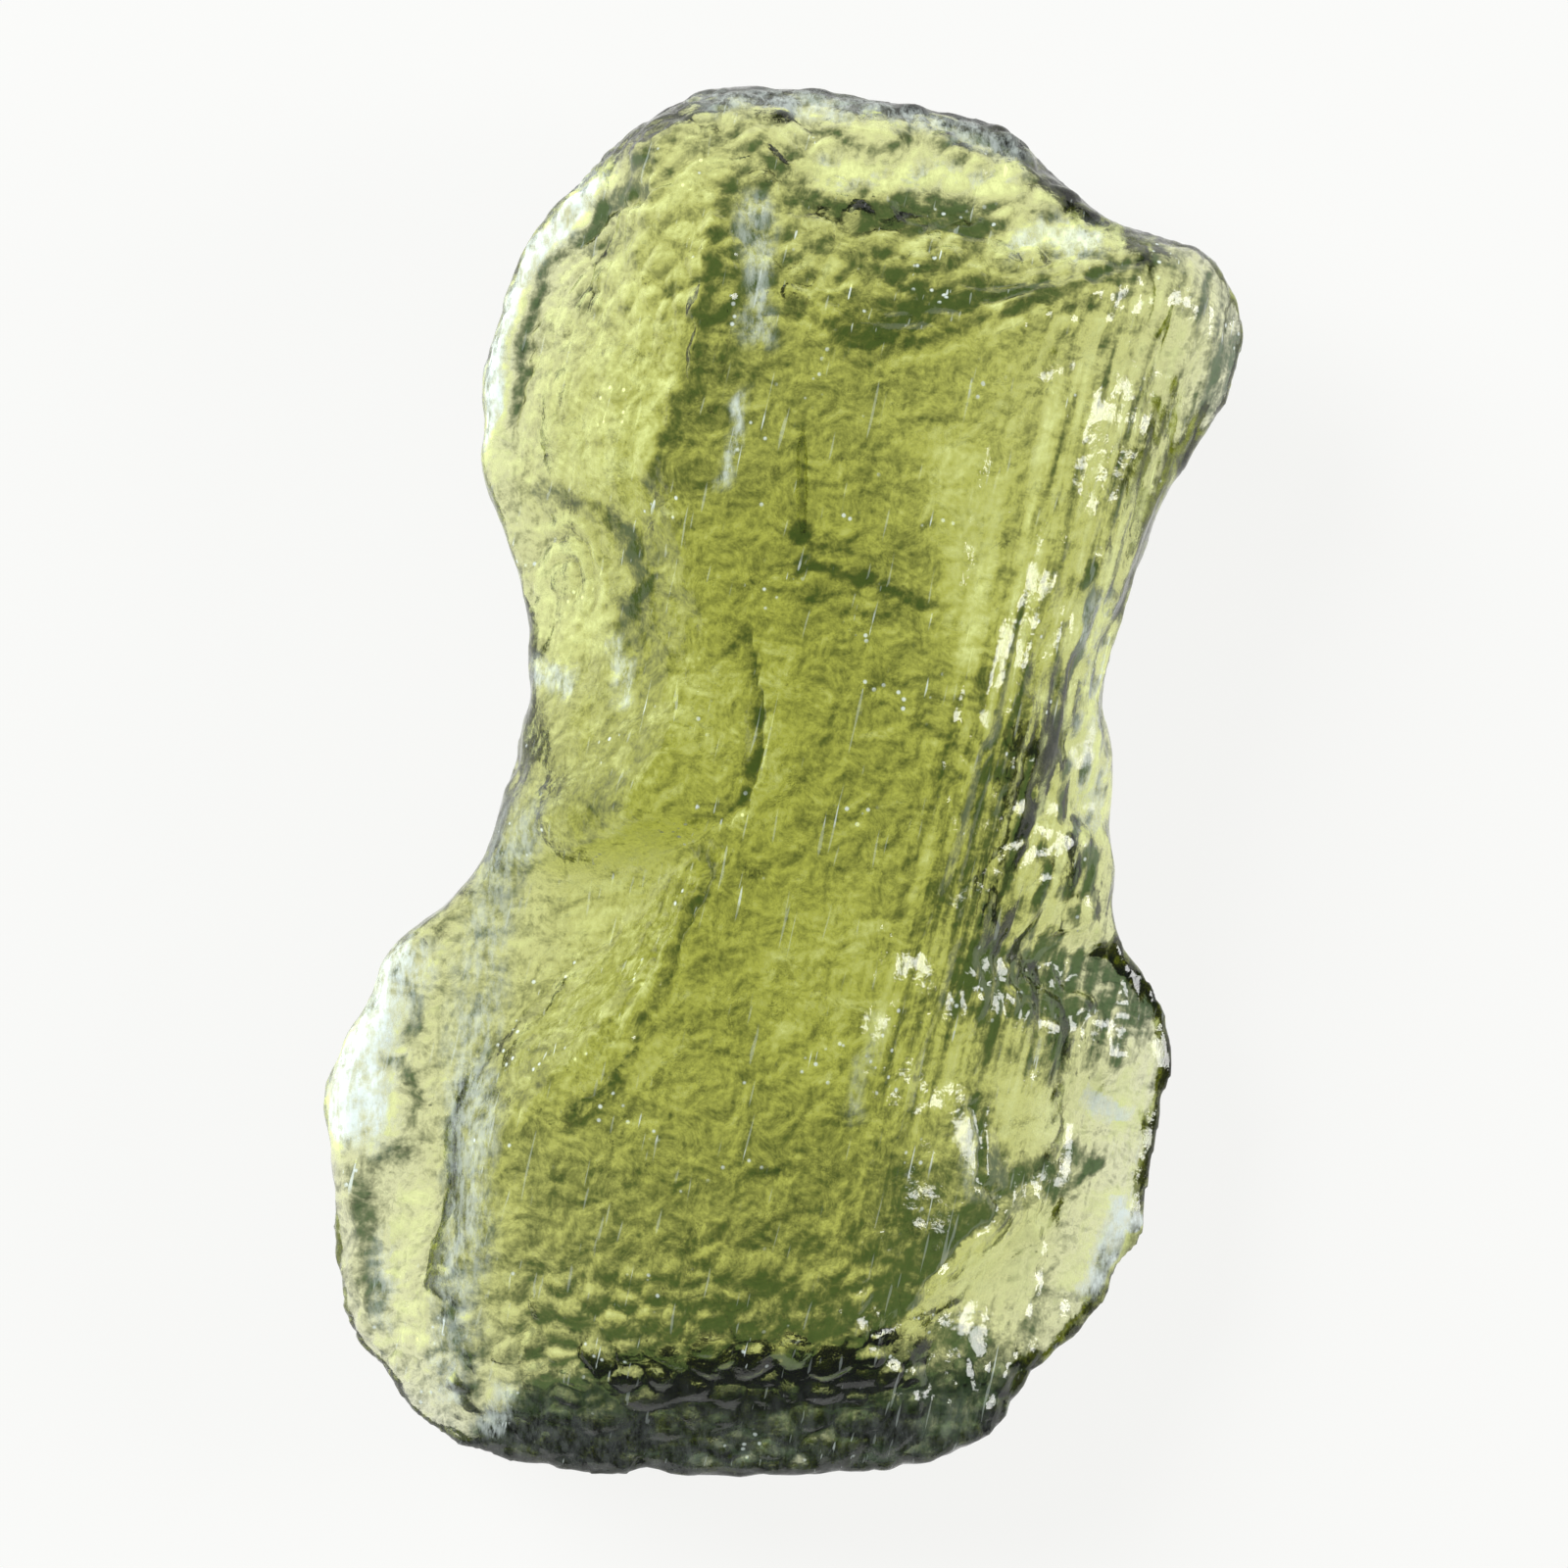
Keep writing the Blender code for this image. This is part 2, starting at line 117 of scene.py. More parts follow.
def spot(x, y, half_width, half_length, bearing, places=plan):
    """1 at a place on the front, fading to 0 at the rim of an ellipse round it."""
    turn = math.radians(bearing)
    along = (places[:, 0] - x) * math.cos(turn) + (places[:, 1] - y) * math.sin(turn)
    across = (places[:, 1] - y) * math.cos(turn) - (places[:, 0] - x) * math.sin(turn)
    reach = np.sqrt((along / half_length) ** 2 + (across / half_width) ** 2)
    return (1 - step(SPOT_FADES_FROM, 1.0, reach)) * front


def stroke(line, half_width, crisp=0, places=plan):
    """1 along a chain of lines on the front, fading to 0 at its half width and near its ends.

    One side can end crisply at the line: the left one for 1, and the right one for -1.
    """
    corners = np.array(line, float)
    lengths = np.linalg.norm(np.diff(corners, axis=0), axis=1)
    begun = np.concatenate([[0], np.cumsum(lengths)])
    nearest = np.full(len(places), np.inf)
    share = np.zeros(len(places))
    left = np.zeros(len(places))
    for start, end, length, gone in zip(corners[:-1], corners[1:], lengths, begun):
        ahead = (end - start) / length
        offset = places - start
        way = np.clip(offset @ ahead, 0, length)
        distance = np.linalg.norm(offset - way[:, None] * ahead, axis=1)
        closer = distance < nearest
        nearest[closer] = distance[closer]
        share[closer] = ((gone + way) / begun[-1])[closer]
        left[closer] = np.sign(ahead[0] * offset[:, 1] - ahead[1] * offset[:, 0])[closer]
    nearest = np.where(left * crisp > 0, CRISPNESS * nearest, nearest)
    ends = step(0.0, END_SHARE, share) * step(1.0, 1 - END_SHARE, share)
    return (1 - step(STROKE_FADES_FROM, 1.0, nearest / half_width)) * ends * front


# Relief, in millimetres out of the skin. Low swells lie all over: how many there are in a
# millimetre, the seed, and how high they are.
LOW_SWELLS = [(0.9, 0.0, 0.032), (2.1, 3.0, 0.026)]
PEEL_FINENESS, PEEL_SEED, PEEL_HEIGHT = 3.6, 7.0, 0.016
swells = sum(out * rough(points * fineness, seed) for fineness, seed, out in LOW_SWELLS)
peel = PEEL_HEIGHT * rough(points * PEEL_FINENESS, PEEL_SEED)

# The flow of the melt left a grain of long fine ridges over the right of the front. They are
# faint elsewhere. The grain has two sizes: the seed, how fine it is, and its height off the flow
# and on it.
FLOW_BEARING = 74.5
FLOW_ACROSS, FLOW_ALONG = (2.0, 3.8), (-7.0, -4.0)
GRAIN_STRETCH = (2.6, 0.22, 2.0)
GRAIN_SIZES = [(5.0, 1.0, 0.006, 0.045), (9.0, 2.2, 0.003, 0.030)]
turn = math.radians(FLOW_BEARING)
across = points[:, 0] * math.sin(turn) - points[:, 1] * math.cos(turn)
along = points[:, 0] * math.cos(turn) + points[:, 1] * math.sin(turn)
flow = step(*FLOW_ACROSS, across) * step(*FLOW_ALONG, along) * front
grain_place = np.column_stack([across, along, height]) * GRAIN_STRETCH
grain = sum(
    (plain + more * flow) * rough(grain_place * fineness, seed)
    for seed, fineness, plain, more in GRAIN_SIZES
)

# A fresh break on the lower right is smooth. A foam of etched cells lies on the scaly lower end,
# the crown and the notch, and thinly on the back. The cells get shallower at the lower edge.
BREAK_EDGE, BREAK_SLOPE = (4.8, -9.1), 1.05
x, y = plan[:, 0], plan[:, 1]
fresh = step(-0.1, 0.4, x - BREAK_EDGE[0] - BREAK_SLOPE * (y - BREAK_EDGE[1]))
fresh *= step(1.5, 3.0, x) * step(-12.7, -11.9, y)
scales = step(-8.6, -11.6, y) * (1 - fresh) * (0.6 + 0.4 * step(-13.8, -12.9, y))
crown = step(8.4, 10.4, y) * step(8.2, 6.6, x)
notch = np.maximum(
    stroke([(3.4, -4.0), (5.0, -4.3), (6.6, -4.5), (8.6, -4.9)], 1.35),
    stroke([(3.0, 1.5), (5.0, 0.0), (5.6, -2.0), (6.0, -4.0)], 0.9) * 0.6,
)
ETCHED_SCALES, ETCHED_CROWN, ETCHED_NOTCH, ETCHED_BEHIND = 0.85, 0.65, 0.9, 0.12
CELL_SIZE, CELL_DEPTH, CELL_MIDDLE = 0.66, 0.15, 0.4
CELL_WANDER, WANDER_FINENESS, WANDER_SEED = 0.30, 0.5, 12.0
CELL_SHADOW = 0.15
etched = ETCHED_SCALES * scales + ETCHED_CROWN * crown + ETCHED_NOTCH * notch
etched = np.clip(etched, 0, 1) * front + ETCHED_BEHIND * behind
wander = CELL_WANDER * rough(points * WANDER_FINENESS, WANDER_SEED)
foam = cells(points / CELL_SIZE + wander[:, None])
foam_above = cells((points + (0.0, CELL_SHADOW, 0.0)) / CELL_SIZE + wander[:, None])
cell_relief = CELL_DEPTH * etched * (CELL_MIDDLE - foam**2)

# A flake scar on the left with rings round its middle, as where glass splits from one point.
EYE_MIDDLE, EYE_HALF_WIDTH, EYE_HALF_LENGTH = (-4.7, 4.3), 1.2, 1.8
EYE_BEARING, RING_SPACING, RING_DEPTH = 97, 0.40, 0.050
RING_EVENNESS, RING_FINENESS, RING_SEED = 0.55, 0.8, 61.0
eye = spot(*EYE_MIDDLE, EYE_HALF_WIDTH, EYE_HALF_LENGTH, EYE_BEARING, points[:, :2])
eye_reach = np.hypot(
    (x - EYE_MIDDLE[0]) / EYE_HALF_WIDTH, (y - EYE_MIDDLE[1]) / EYE_HALF_LENGTH
)
rings = np.sin(2 * math.pi * eye_reach * EYE_HALF_WIDTH / RING_SPACING)
rings *= RING_EVENNESS + rough(points * RING_FINENESS, RING_SEED)

# Sharp steps and scratches cut into the front: a chain of points, the half width, and how far it
# stands out.
CUTS = [
    ([(-1.5, -1.0), (-2.0, -2.9), (-2.75, -4.7), (-3.3, -6.0), (-4.1, -6.8),
      (-5.0, -7.0)], 0.16, -0.16),
    ([(-1.9, -1.6), (-2.4, -3.2), (-3.1, -5.0), (-3.7, -6.1)], 0.14, 0.07),
    ([(-2.3, -2.4), (-2.9, -4.0), (-3.6, -5.5)], 0.13, -0.06),
    ([(-2.6, -2.2), (-3.3, -3.8), (-4.0, -5.3)], 0.13, 0.05),
    ([(3.9, -6.4), (4.25, -7.6), (4.2, -8.5), (4.85, -9.1), (4.0, -9.9),
      (2.7, -11.0)], 0.18, -0.18),
    ([(5.3, -8.7), (5.5, -10.2), (5.2, -11.8)], 0.14, 0.12),
    ([(-0.8, 3.4), (-0.5, 2.2), (-0.45, 0.8), (-0.75, -0.4), (-1.4, -1.0)], 0.15, -0.14),
    ([(-0.5, 4.3), (0.6, 4.5), (1.4, 4.1), (2.4, 4.0), (3.3, 3.5)], 0.2, -0.15),
    ([(0.4, 4.9), (1.5, 4.7), (2.3, 4.4)], 0.15, -0.1),
    ([(0.0, 3.8), (1.2, 3.6), (2.0, 3.2)], 0.15, -0.08),
    ([(-5.0, 11.3), (-3.9, 12.0), (-2.6, 12.9), (-1.5, 13.6)], 0.22, -0.14),
    ([(-5.9, 7.4), (-5.6, 9.4), (-5.0, 11.2)], 0.22, -0.14),
    ([(-1.4, 13.0), (-1.7, 10.8), (-2.2, 7.6)], 0.14, 0.1),
    ([(-0.9, 12.8), (-1.2, 10.2), (-1.5, 8.0)], 0.12, 0.08),
    ([(1.2, 8.6), (2.6, 9.0), (4.2, 9.6), (6.2, 10.6), (8.2, 11.3)], 0.3, -0.07),
]
CUT_NARROWING = 0.75
cuts = np.zeros(len(points))
for line, half_width, out in CUTS:
    cuts += out * stroke(line, CUT_NARROWING * half_width)

fine = peel + grain + cell_relief + RING_DEPTH * eye * rings + cuts
relief = swells + fine
RELIEF_FROM, RELIEF_TO = 0.02, 0.5
above_floor = step(RELIEF_FROM, RELIEF_TO, height)
for vertex, out in zip(form.verts, relief * above_floor):
    vertex.co += vertex.normal * out

# Painted shade and light: the skin is painted darker where the glass is thick or folded and where
# shade falls, on steep walls, under lumps and in dark bands. It is painted brighter, with a painted
# glare, where the glass is thin or freshly broken and lit. The list has the chain of points, the
# half width, how much darker it is there (below 0 where it is brighter), and the side that ends
# crisply.
SPINE = [(-0.8, 13.4), (-1.55, 11.5), (-1.9, 9.6), (-2.5, 7.7), (-3.1, 5.8)]
DENT_RIM = [(-0.8, 3.4), (-0.45, 2.2), (-0.4, 0.8), (-0.65, -0.3), (-1.4, -1.0)]
BREAK_RIM = [(5.9, -9.0), (4.4, -9.8), (3.3, -10.5), (2.5, -11.4), (2.3, -12.1)]
SHADE_AND_LIGHT_MARKS = [
    (SPINE, 2.3, 0.36, -1),
    (SPINE, 0.5, 0.3, -1),
    (SPINE, 0.8, -0.25, 1),
    ([(1.0, 8.9), (2.2, 9.3), (2.9, 9.6), (3.9, 10.0), (4.7, 10.5)], 1.15, 0.75, -1),
    ([(4.3, 10.5), (5.9, 10.7), (7.2, 11.0), (8.4, 11.5)], 0.75, 0.8, 1),
    ([(1.2, 11.3), (2.2, 10.8), (3.3, 10.7)], 0.55, 0.45, 0),
    ([(1.5, 12.0), (2.5, 12.2), (3.5, 12.1), (4.6, 11.5)], 0.62, 0.95, 0),
    ([(-0.1, 12.6), (0.6, 12.5), (1.5, 12.1)], 0.42, 0.85, 0),
    ([(0.85, 14.1), (1.3, 13.55), (2.05, 13.35), (2.9, 13.7)], 0.32, 0.7, -1),
    ([(3.5, 13.6), (4.25, 13.35), (4.7, 13.6)], 0.26, 0.6, -1),
    ([(-0.7, 13.6), (-0.1, 13.15), (0.6, 13.3)], 0.35, 0.45, 0),
    ([(-3.6, 14.1), (-1.9, 14.8), (0.4, 15.0), (2.6, 14.6), (4.6, 13.9), (6.0, 12.8),
      (7.4, 11.9)], 0.6, 0.6, 0),
    ([(0.0, 12.95), (2.0, 12.95), (3.6, 12.9), (5.3, 12.7)], 0.5, -0.7, 0),
    ([(4.2, 11.1), (5.7, 11.35), (7.5, 11.5)], 0.85, -1.1, -1),
    ([(-3.5, 11.6), (-2.6, 12.6), (-1.6, 13.6)], 0.8, -0.25, 0),
    ([(-6.5, 6.2), (-6.4, 8.6), (-5.9, 10.6), (-4.8, 12.3), (-3.4, 13.7)], 0.75, -0.8, 0),
    ([(-5.9, 7.0), (-5.75, 9.0), (-5.1, 11.0), (-3.6, 12.4), (-2.6, 13.9)], 0.32, 0.85, 0),
    ([(5.0, 3.4), (4.9, 0.8), (4.4, -2.0), (3.8, -5.6)], 1.6, 0.46, 0),
    ([(3.7, -3.9), (5.0, -4.3), (6.6, -4.5), (8.3, -4.9)], 1.25, 1.1, 0),
    ([(4.0, -5.6), (5.4, -5.9), (7.4, -5.7)], 0.85, 0.5, 0),
    ([(0.0, 4.2), (1.6, 4.2), (3.2, 3.6)], 0.55, 0.4, 0),
    ([(-5.0, -7.0), (-4.1, -6.8), (-3.3, -6.0), (-2.75, -4.7), (-2.0, -2.9),
      (-1.4, -1.0)], 0.3, 0.6, 1),
    ([(-4.9, -7.1), (-4.1, -6.9), (-3.4, -6.1)], 0.45, 0.5, 1),
    (DENT_RIM, 0.25, 0.3, 1),
    (DENT_RIM, 1.1, -0.35, -1),
    ([(-3.2, 5.6), (-2.9, 4.0), (-3.1, 2.2)], 0.6, 0.4, 0),
    ([(-5.9, 6.2), (-4.7, 6.2), (-3.5, 5.5), (-3.1, 4.2), (-3.6, 2.8)], 0.3, 0.7, 0),
    ([(3.1, -11.5), (3.9, -12.0), (4.7, -11.9)], 0.45, 0.75, 0),
    ([(3.6, -9.9), (3.55, -11.6)], 0.3, 0.3, 0),
    ([(-9.2, -8.2), (-9.0, -9.6), (-8.6, -11.8)], 0.5, 0.75, 0),
    ([(-7.0, -7.2), (-7.3, -9.2), (-8.0, -11.2)], 0.4, 0.25, 0),
    ([(-8.9, -5.6), (-8.2, -5.9), (-7.7, -6.7), (-8.0, -7.6)], 0.38, 0.85, 1),
    ([(-8.5, -3.9), (-7.8, -4.6), (-7.9, -5.6)], 0.34, 0.75, 1),
    ([(-9.6, -7.9), (-8.8, -8.2), (-8.0, -8.0)], 0.34, 0.85, 0),
    ([(-9.0, -3.8), (-9.2, -6.0), (-9.6, -8.6)], 1.3, -0.6, 0),
    ([(-7.9, -8.4), (-8.0, -10.6), (-8.2, -12.8)], 0.6, -0.45, 0),
    ([(-7.1, -11.0), (-6.9, -12.4), (-6.9, -13.6)], 0.3, 0.6, 0),
    ([(-5.3, 0.4), (-6.2, -2.8), (-6.6, -5.3), (-6.6, -9.5), (-7.0, -13.4)], 0.95, 0.34, 0),
    ([(7.0, 5.0), (6.7, 1.6), (6.8, -1.8)], 0.5, -0.55, 0),
    ([(3.4, 7.8), (3.9, 5.0), (4.3, 2.2)], 1.0, -0.48, 0),
    ([(4.7, -7.4), (5.5, -7.1), (6.3, -7.5)], 0.85, -0.5, 0),
    ([(5.8, -6.8), (6.9, -6.7), (7.9, -7.4)], 0.65, -0.8, 0),
    ([(4.2, -8.1), (5.0, -8.75), (6.1, -8.8), (7.2, -8.1)], 0.75, 0.85, -1),
    ([(4.3, -6.4), (4.2, -7.6), (4.45, -8.9)], 0.34, 0.75, 0),
    ([(6.0, -7.7), (6.45, -8.2), (7.0, -8.3)], 0.22, 0.9, 0),
    ([(5.7, -8.0), (5.76, -9.2)], 0.18, 1.0, 0),
    (BREAK_RIM, 1.2, 0.6, 1),
    (BREAK_RIM, 2.2, -0.75, -1),
    ([(2.9, -8.0), (2.9, -9.4), (1.9, -10.6)], 1.4, 0.32, 0),
    ([(5.95, -9.2), (5.75, -10.4), (5.5, -11.5), (5.2, -12.7)], 0.28, 0.6, 0),
    ([(7.1, -8.6), (7.1, -9.9), (6.2, -11.2)], 0.8, -0.85, 0),
    ([(8.1, 11.0), (9.0, 10.2), (9.3, 8.8), (8.5, 7.4)], 1.0, 0.42, 0),
]
# Spots of painted shade and light have the middle, half the width, half the length, the bearing,
# and how much darker they are (below 0, brighter, with a painted glare).
SHADE_AND_LIGHT_SPOTS = [
    (-4.3, 8.6, 2.2, 3.6, 85, -0.3), (-4.6, 4.0, 1.2, 1.9, 97, -0.45),
    (-3.6, -3.4, 1.5, 3.6, 68, -0.12), (0.9, -4.2, 2.0, 2.8, 90, -0.28),
    (-1.6, 1.5, 0.95, 1.8, 93, -0.3), (1.8, 14.0, 0.45, 0.85, 175, -0.4),
    (0.1, 13.7, 0.4, 0.6, 90, -0.3), (2.8, 11.4, 0.28, 0.36, 0, -0.6),
    (3.5, 11.4, 0.28, 0.36, 0, -0.6), (0.85, 10.4, 0.28, 0.5, 0, -0.5),
    (4.4, 10.0, 0.18, 0.25, 0, -0.7), (6.0, 9.6, 0.22, 0.45, 70, 0.35),
    (-3.9, -0.6, 0.5, 1.0, 70, 0.35), (7.55, -9.6, 0.42, 0.42, 0, -0.9),
    (0.6, -11.9, 1.7, 5.2, 0, 0.34),
]
# The body is thickest along its middle and low down, and is painted darker there. The lower end is
# painted in deep shade up to a slanting line on the left.
BODY_SHADE, LOW_BODY_SHADE = 0.29, 0.18
BOTTOM_EDGE, BOTTOM_SLOPE, BOTTOM_SHADE = (-5.2, -12.35), 0.92, 0.88
SHADE_LEAST, SHADE_MOST = -0.55, 1.05
low_body = step(-5.6, -8.6, y) * step(-6.3, -5.2, x) * step(5.2, 4.4, x) * (1 - fresh)
body = np.maximum(step(-3.4, -0.9, x) * step(5.2, 3.0, x), low_body) * step(12.6, 9.4, y)
shade = (BODY_SHADE * body + LOW_BODY_SHADE * low_body) * front
slanted = x - BOTTOM_EDGE[0] - BOTTOM_SLOPE * (y - BOTTOM_EDGE[1])
shaded_bottom = step(-12.0, -13.0, y) * step(-0.2, 0.5, slanted)
for line, half_width, strength, crisp in SHADE_AND_LIGHT_MARKS:
    shade += strength * stroke(line, half_width, crisp)
for *place, strength in SHADE_AND_LIGHT_SPOTS:
    shade += strength * spot(*place)
shade = np.clip(shade, SHADE_LEAST, SHADE_MOST) * (1 - shaded_bottom)
shade += BOTTOM_SHADE * shaded_bottom

# The flow's grain shows as bright and dark stripes. At the waist it is broken up into flakes of
# painted shade and painted glints.
STRIPE_STRETCH, STRIPE_SEED = (5.0, 0.35, 1.0), 15.0
FLAKE_STRETCH, FLAKE_SEED, FLAKE_CONTRAST = (4.6, 1.5, 1.0), 17.0, 4.2
stripes = rough(np.column_stack([across, along, height]) * STRIPE_STRETCH, STRIPE_SEED)
flakes = rough(np.column_stack([across, along, height]) * FLAKE_STRETCH, FLAKE_SEED)
waist = stroke([(7.2, 5.0), (6.5, 1.6), (6.3, -1.2), (5.4, -3.4)], 1.5)
shade += flow * stripes + FLAKE_CONTRAST * waist * flakes

# Painted shade and light: the side of each swell that faces down the stone is painted darker and
# the other side lighter, and each hollow is painted darker and each rise lighter. The cells of the
# foam are painted dark inside with a painted highlight on their upper rims, and the rings of the
# flake scar are painted lighter and darker along with their relief.
SWELL_SIDE_SHADE, SHADED_SIDE_WAY, HOLLOW_SHADE = 1.1, (0.45, -0.9), 2.0
SCALY_BOTTOM, SCALY_CROWN, SCALY_NOTCH = 0.75, 0.45, 0.7
CELL_INSIDE_SHADE, CELL_LEVEL, CELL_RIM_HIGHLIGHT = 0.9, 0.85, 2.6
RING_SHADE = 0.35
form.normal_update()
leaning = np.array([vertex.normal[:] for vertex in form.verts]) - normals
shade += (SWELL_SIDE_SHADE * (leaning[:, :2] @ SHADED_SIDE_WAY) - HOLLOW_SHADE * fine) * front
scaly = step(-8.8, -12.2, y) * step(-6.4, -4.8, x) * step(5.4, 4.6, x) * (1 - fresh)
scaly = np.maximum(SCALY_BOTTOM * scaly, np.maximum(SCALY_CROWN * crown, SCALY_NOTCH * notch))
shade += scaly * front * (CELL_INSIDE_SHADE * (CELL_LEVEL - foam) + CELL_RIM_HIGHLIGHT * (foam - foam_above))
shade -= RING_SHADE * eye * rings
shade = np.clip(shade, -0.6, 1.1)

# Seen from the front, a gas bubble shows as a thin dark line with a dot at its lower end, painted
# as shade on the skin over it.
BUBBLE_LINE, BUBBLE_LINE_SHADE = [(0.42, 8.0), (0.38, 6.8), (0.36, 5.4)], 0.22
shade += BUBBLE_LINE_SHADE * stroke(BUBBLE_LINE, 0.16, 0, points[:, :2])
shade += spot(0.355, 5.25, 0.30, 0.34, 90, points[:, :2])

# Frosted places, where the skin is worn or crazed and scatters light: a chain of points, the half
# width, and how strong it is. The lower end is faintly frosted all over.
FROST_STROKES = [
    ([(-5.3, 0.4), (-6.3, -2.8), (-6.7, -5.3), (-6.8, -9.5), (-7.4, -13.6)], 0.85, 0.36),
    ([(-0.6, 12.6), (-0.5, 10.8), (-0.6, 9.0)], 0.5, 0.4), ([(-0.8, 8.4), (-1.25, 6.0)], 0.2, 0.6),
    ([(-2.4, 14.4), (-0.6, 14.7), (2.0, 14.4), (4.2, 13.8), (5.6, 12.9)], 0.45, 0.45),
    ([(-5.6, 2.4), (-4.4, 2.1)], 0.55, 0.5), ([(-3.6, 3.2), (-3.4, 1.4)], 0.35, 0.4),
    ([(6.9, 4.4), (6.5, 1.6), (6.7, -1.8)], 0.6, 0.5), ([(2.0, -4.8), (1.5, -7.4)], 0.35, 0.25),
    ([(-6.0, -12.6), (-6.3, -14.2)], 0.5, 0.5), ([(7.2, -9.5), (7.8, -9.7)], 0.45, 0.9),
    ([(3.9, -7.2), (3.8, -8.2), (4.1, -9.1)], 0.24, 0.35),
    ([(-7.4, -12.2), (-7.2, -13.6)], 0.4, 0.5),
    ([(-6.6, 6.6), (-6.4, 8.8), (-5.9, 10.6), (-4.9, 12.0), (-3.6, 13.5)], 0.5, 0.8),
    ([(-7.9, -3.0), (-8.8, -4.6), (-9.2, -6.6), (-9.4, -8.2)], 1.2, 0.85),
    ([(-8.4, -9.4), (-8.6, -12.0)], 0.5, 0.4),
    ([(4.6, 11.4), (5.7, 11.7), (7.0, 11.5)], 0.55, 0.55),
    ([(0.4, 12.95), (3.0, 12.95), (5.2, 12.7)], 0.4, 0.35),
    ([(7.3, -8.7), (7.1, -10.0), (6.2, -11.2)], 0.55, 0.65),
    ([(6.2, -6.7), (7.7, -7.3)], 0.45, 0.6),
]
LOW_FROST = 0.10
frost = LOW_FROST * step(-12.4, -14.2, points[:, 1]) * front
for line, half_width, strength in FROST_STROKES:
    frost = np.maximum(frost, strength * stroke(line, half_width))

# The steep sides get less of the painted shade and light, except at the shaded lower end, and less
# frost.
STEEP_SHADE, STEEP_FROST = 0.45, 0.50
facing = step(0.10, 0.60, normals[:, 2])
shade *= STEEP_SHADE + (1 - STEEP_SHADE) * np.maximum(facing, shaded_bottom)
frost *= STEEP_FROST + (1 - STEEP_FROST) * facing

# The finest lines of the flow's grain are painted, within these limits.
LINES_ACROSS, LINES_TOP, LINES_FADE, LINES_LOW = (2.4, 4.0), (13.5, 10.5), (-8.0, -3.0), 0.35
lined = LINES_LOW + (1 - LINES_LOW) * step(*LINES_FADE, along)
lined *= step(*LINES_ACROSS, across) * step(*LINES_TOP, along) * front
shade_layer = form.verts.layers.float.new("shade")
frost_layer = form.verts.layers.float.new("frost")
grain_layer = form.verts.layers.float.new("grain")
for vertex, darker, whiter, finer in zip(form.verts, shade, frost, lined):
    vertex[shade_layer] = darker
    vertex[frost_layer] = whiter
    vertex[grain_layer] = finer

# A gas bubble drawn out by the flow, with a rounder lower end: a closed skin that faces inwards.
BUBBLE_MIDDLE, BUBBLE_HALF_WIDTH, BUBBLE_HALF_LENGTH = (0.38, 6.35, 6.2), 0.15, 1.15
BUBBLE_NARROW, BUBBLE_SWELL = 0.75, 0.65
bubble = bmesh.ops.create_icosphere(form, subdivisions=4, radius=1.0)["verts"]
for vertex in bubble:
    down = -vertex.co.y
    width = BUBBLE_HALF_WIDTH * (BUBBLE_NARROW + BUBBLE_SWELL * max(down, 0) ** 3)
    vertex.co = Vector(BUBBLE_MIDDLE) + Vector(
        (vertex.co.x * width, vertex.co.y * BUBBLE_HALF_LENGTH, vertex.co.z * width)
    )
bubble_faces = list({face for vertex in bubble for face in vertex.link_faces})
bmesh.ops.reverse_faces(form, faces=bubble_faces)
bmesh.ops.scale(form, vec=(MM, MM, MM), verts=form.verts)
form.to_mesh(stone_mesh)
form.free()
stone_mesh.shade_smooth()


class Shade:
    """A node's output, on which Python's operators add Math nodes."""

    def __init__(self, tree, socket):
        self.tree, self.socket = tree, socket

    def node(self, kind, settings=None, output=0, **inputs):
        """A new node's output. Its inputs go by name, or by number after an i."""
        made = self.tree.nodes.new(kind)
        for name, value in (settings or {}).items():
            setattr(made, name, value)
        for name, value in inputs.items():
            index = int(name[1:]) if name[1:].isdigit() else name.replace("_", " ")
            if isinstance(value, Shade):
                self.tree.links.new(value.socket, made.inputs[index])
            else:
                made.inputs[index].default_value = value
        return Shade(self.tree, made.outputs[output])

    def maths(self, operation, a, b=0.0):
        return self.node("ShaderNodeMath", {"operation": operation}, i0=a, i1=b)

    def between(self, low, high):
        """0 up to one value and 1 from the other, with a soft step between."""
        soft = {"interpolation_type": "SMOOTHSTEP"}
        return self.node("ShaderNodeMapRange", soft, i0=self, i1=low, i2=high)

    def noise(self, scale, detail, **more):
        """Noise at this place, with about so many swells in a metre and so many finer octaves."""
        return self.node("ShaderNodeTexNoise", Vector=self, Scale=scale, Detail=detail, **more)

    def vector(self, operation, by):
        return self.node("ShaderNodeVectorMath", {"operation": operation}, i0=self, i1=by)

    def mix(self, first, second):
        """The first colour where this value is 0, and the second where it is 1."""
        return self.node("ShaderNodeMix", {"data_type": "RGBA"}, 2, i0=self, i6=first, i7=second)

    def __add__(self, other):
        return self.maths("ADD", self, other)

    __radd__ = __add__

    def __mul__(self, other):
        return self.maths("MULTIPLY", self, other)

    __rmul__ = __mul__

    def __sub__(self, other):
        return self.maths("SUBTRACT", self, other)

    def __rsub__(self, other):
        return self.maths("SUBTRACT", other, self)


# The glass takes its colour from its depth: what it leaves of the light, and how soon. Its skin is
# painted with the rest: random wrinkles with painted light and shade on one side of each, painted
# shade in the hollows and over the darker marked places, painted light with a painted glare on the
# brighter ones, the flow's finest lines, and frosted scratches and specks.
GLASS_IOR = 1.49
GLASS_THINNING = 290.0
GLASS_LEFT = (0.715, 0.745, 0.0)
